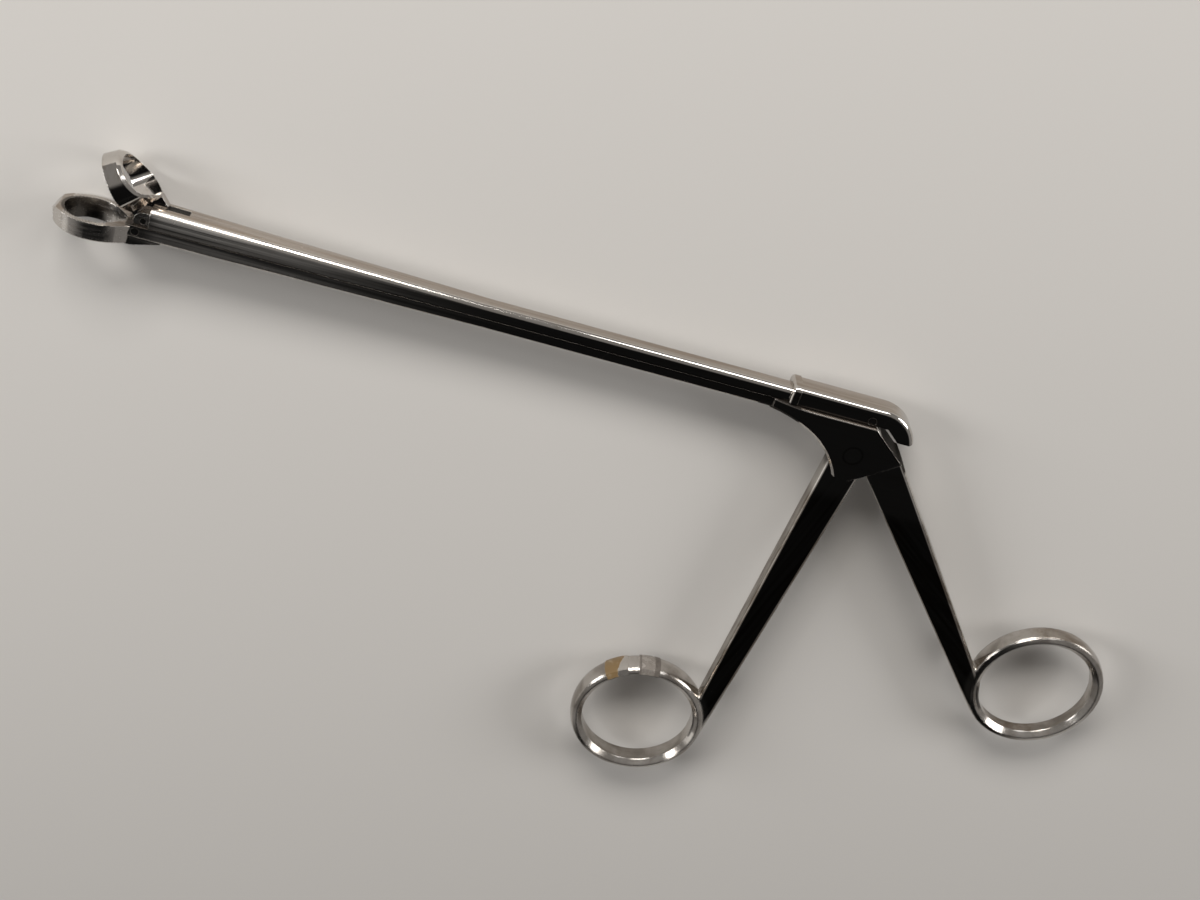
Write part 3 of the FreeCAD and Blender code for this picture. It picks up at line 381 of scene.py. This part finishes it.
def pinFinish(pin):
    finish = Finish(pin + "_steel")
    radius = pinRadii[pin]
    away = finish.awayFrom(pinPlaces[pin])
    rings = (away * pinEnd["ringPitch"] + finish.noise(900.0) * 2.5).calc("SINE")
    rim = away.between(radius - steel["pinHalo"], radius - steel["pinHalo"] * 0.5)
    scratches = finish.noise(*pinEnd["scratches"])
    stains = finish.noise(*pinEnd["stains"]).between(0.55, 0.75)
    edgeRadius = 0.0 if pin == "handle_screw" else steel["edgeRadius"] / 2
    rounded, edge = finish.edges(edgeRadius)
    colour = finish.mix(stains * 0.35, steel["clean"], steel["stainAndShade"])
    finish.set(
        Metallic=1.0,
        Base_Color=finish.mix(rim * 0.8, colour, steel["dirt"]),
        Roughness=(pinEnd["shine"] + rings * 0.015 + rim * 0.12 + edge * 0.10
                   + scratches.between(0.5, 0.9) * 0.08),
        Normal=finish.bump(rings * 0.3 + scratches, pinEnd["reliefDepth"], 0.3, rounded),
    )
    return finish.material


# Worn identification tapes: angles in degrees about the ring's axis, noise as on the steel
amberTape = {
    "film": (0.135, 0.086, 0.036),
    "rubbed": (0.27, 0.215, 0.14),
    "dirty": (0.050, 0.030, 0.014),
    "bareFrom": 116.5,        # bare steel past this angle at the ring's near lip
    "bareTo": 124.5,
    "gloss": 0.36,
    "bareGloss": 0.14,
    "lip": 0.003,
    "creaseDepth": 0.00006,
    "creases": (1100.0, 5.0, 0.65, (1, 1, 0.3)),
    "rub": (620.0, 5.0, 0.62),
    "grime": (480.0, 6.0, 0.7),
    "ragged": (1500.0, 4.0, 0.6),
}
greyTape = {
    "film": (0.25, 0.225, 0.20),
    "rubbed": (0.42, 0.39, 0.36),
    "dirty": (0.055, 0.045, 0.036),
    "bandTo": 91.8,           # the brown band lies between the tape's end and this angle
    "lineAt": 103.9,
    "gloss": 0.26,
    "creaseDepth": 0.00005,
    "creases": (900.0, 5.0, 0.6, (1, 1, 0.25)),
    "rub": (520.0, 5.0, 0.6),
    "grime": (700.0, 6.0, 0.7),
    "ragged": (1300.0, 4.0, 0.6),
}


# The place along a tape, and the height across it
def tapeAngle(finish, centre):
    x, y, z = finish.xyz()
    return (y - centre[1]).calc("ARCTAN2", x - centre[0]) * math.degrees(1.0), z


def amberFinish():
    finish = Finish("amber_tape_film")
    centre = mountPlaces["finger_ring"]
    angle, z = tapeAngle(finish, centre)
    creases = finish.noise(*amberTape["creases"])
    rub = finish.noise(*amberTape["rub"], distortion=0.9).between(0.54, 0.70)
    grime = finish.noise(*amberTape["grime"], distortion=1.2).between(0.52, 0.74)
    ragged = finish.noise(*amberTape["ragged"]) * 2.4 - 1.2
    # The worn end slants: it reaches further along the tape at the near lip
    slant = (z - centre[2]) / amberTape["lip"] * (amberTape["bareTo"] - amberTape["bareFrom"]) * 0.5
    bareEdge = slant + ragged + (amberTape["bareFrom"] + amberTape["bareTo"]) * 0.5
    film = (angle - bareEdge).between(-0.25, 0.25)
    worn = finish.mix(rub * 0.55, amberTape["film"], amberTape["rubbed"])
    finish.set(
        Metallic=1 - film,
        Base_Color=finish.mix(film, steel["clean"], finish.mix(grime * 0.6, worn, amberTape["dirty"])),
        Roughness=(amberTape["bareGloss"] + film * (amberTape["gloss"] - amberTape["bareGloss"])
                   + rub * 0.08),
        Normal=finish.bump(creases * 0.4 + film, amberTape["creaseDepth"], 0.5),
    )
    return finish.material


def greyFinish():
    finish = Finish("grey_tape_film")
    angle = tapeAngle(finish, mountPlaces["finger_ring"])[0]
    creases = finish.noise(*greyTape["creases"])
    rub = finish.noise(*greyTape["rub"], distortion=0.6).between(0.50, 0.70)
    grime = finish.noise(*greyTape["grime"], distortion=1.2).between(0.55, 0.75)
    ragged = finish.noise(*greyTape["ragged"]) * 1.6 - 0.8
    band = 1 - (angle + ragged - greyTape["bandTo"]).between(-0.4, 0.4)
    line = 1 - abs(angle + ragged * 0.3 - greyTape["lineAt"]).between(0.35, 0.8)
    soiled = (band * 0.8 + line * 0.85 + grime * 0.35).calc("MINIMUM", 1.0)
    worn = finish.mix(rub * 0.6, greyTape["film"], greyTape["rubbed"])
    finish.set(
        Metallic=0.55 - soiled * 0.45,
        Base_Color=finish.mix(soiled, worn, greyTape["dirty"]),
        Roughness=greyTape["gloss"] + soiled * 0.2 + rub * 0.05,
        Normal=finish.bump(creases + soiled * 0.4, greyTape["creaseDepth"], 0.4),
    )
    return finish.material


def giveFinish(node, material):
    piece = frame["nodes"][node]
    if not piece.material_slots:
        piece.data.materials.append(material)
    for slot in piece.material_slots:
        slot.material = material


giveFinish("fixed_half", steelFinish("fixed_half_steel", 0.0, True, pins, jawPivotX, "thumb_ring"))
giveFinish("slider", steelFinish("slider_steel", 0.0, True, ("jaw_link_pin", "drive_pin")))
giveFinish("finger_lever", steelFinish("finger_lever_steel", turnOnto("finger_ring"), ring="finger_ring"))
giveFinish("upper_jaw", steelFinish("upper_jaw_steel", jawTurn, satinFrom=0.0))
for pin in pins:
    giveFinish(pin, pinFinish(pin))
giveFinish("amber_marking_tape", amberFinish())
giveFinish("grey_marking_tape", greyFinish())
print("finishes done")


# Plain pale floor, just under the lowest point
floorLook = {"colour": (0.52, 0.50, 0.475), "roughness": 0.85, "size": 6.0, "gap": 0.0002}
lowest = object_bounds()[0][2]
bpy.ops.mesh.primitive_plane_add(size=floorLook["size"], location=(0, 0, lowest - floorLook["gap"]))
floor = bpy.context.object
floor.name = "floor"
floorFinish = Finish("pale_floor")
floorFinish.set(Base_Color=floorLook["colour"], Roughness=floorLook["roughness"])
floor.data.materials.append(floorFinish.material)


# Lamps: where each stands as seen from the middle, its distance, width and height, power and colour
lampsMiddle = Vector((-0.06, -0.02, 0))
lamps = {
    "key": ((-0.28, 0.83, 0.47), 0.9, 0.55, 0.28, 7.0, (1.0, 0.98, 0.95)),
    "side": ((-0.9, 0.1, 0.42), 0.9, 0.3, 0.5, 4.5, (1, 1, 1)),
    "edge": ((0.30, 0.85, 0.44), 0.9, 0.35, 0.20, 1.2, (1, 1, 1)),
    "fill": ((0.85, 0.45, 0.35), 1.1, 0.5, 0.4, 5.5, (1, 1, 1)),
}


def softBox(name, towards, distance, width, height, power, colour):
    lamp = bpy.data.lights.new(name, "AREA")
    lamp.shape = "ELLIPSE"
    lamp.size = width
    lamp.size_y = height
    lamp.energy = power
    lamp.color = colour
    holder = bpy.data.objects.new(name, lamp)
    holder.location = lampsMiddle + Vector(towards).normalized() * distance
    holder.rotation_euler = (lampsMiddle - holder.location).to_track_quat("-Z", "Y").to_euler()
    bpy.context.scene.collection.objects.link(holder)


for name, settings in lamps.items():
    softBox(name, *settings)

# The room: grey walls, a dark ceiling, a dark low front and a pale window at the jaws' end
roomTones = {
    "walls": (0.25, 0.24, 0.23),
    "shade": (0.006, 0.006, 0.006),
    "window": (0.85, 0.83, 0.80),
    "seen": (0.34, 0.33, 0.315),        # what the camera sees past the floor
}
# The direction of each, and the closeness to it where it begins and where it is full
roomParts = {
    "ceiling": ((0.05, -0.40, 0.915), 0.72, 0.88),
    "front": ((0.10, -0.95, 0.30), 0.84, 0.95),
    "window": ((-0.86, -0.46, 0.22), 0.965, 0.985),
}
world = bpy.data.worlds.new("room")
bpy.context.scene.world = world
world.use_nodes = True
room = Finish("room", world.node_tree)


def lookingAt(direction, low, high):
    facing = room.node("ShaderNodeTexCoord", output="Generated")
    return room.dot(facing, direction).between(low, high)


ceiling = lookingAt(*roomParts["ceiling"])
front = lookingAt(*roomParts["front"])
window = lookingAt(*roomParts["window"])
background = world.node_tree.nodes["Background"]
tone = room.mix(ceiling.calc("MAXIMUM", front), roomTones["walls"], roomTones["shade"])
tone = room.mix(window, tone, roomTones["window"])
tone = room.mix(room.node("ShaderNodeLightPath", output="Is Camera Ray"), tone, roomTones["seen"])
room.feed(background.inputs["Color"], tone)
background.inputs["Strength"].default_value = 1.0
print("light done")

# Camera where the photograph was taken from
lens = bpy.data.cameras.new("camera")
lens.sensor_width = 36.0
lens.lens = 48.0
camera = bpy.data.objects.new("camera", lens)
right = Vector((0.957292, 0.288859, -0.012316))
up = Vector((-0.250779, 0.808387, -0.53256))
back = -Vector((0.143879, -0.512904, -0.846303))
stand = Matrix((right, up, back)).transposed().to_4x4()
stand.translation = (-0.098407, 0.156277, 0.289574)
camera.matrix_world = stand
bpy.context.scene.collection.objects.link(camera)
bpy.context.scene.camera = camera
bpy.context.scene.view_settings.view_transform = "Standard"
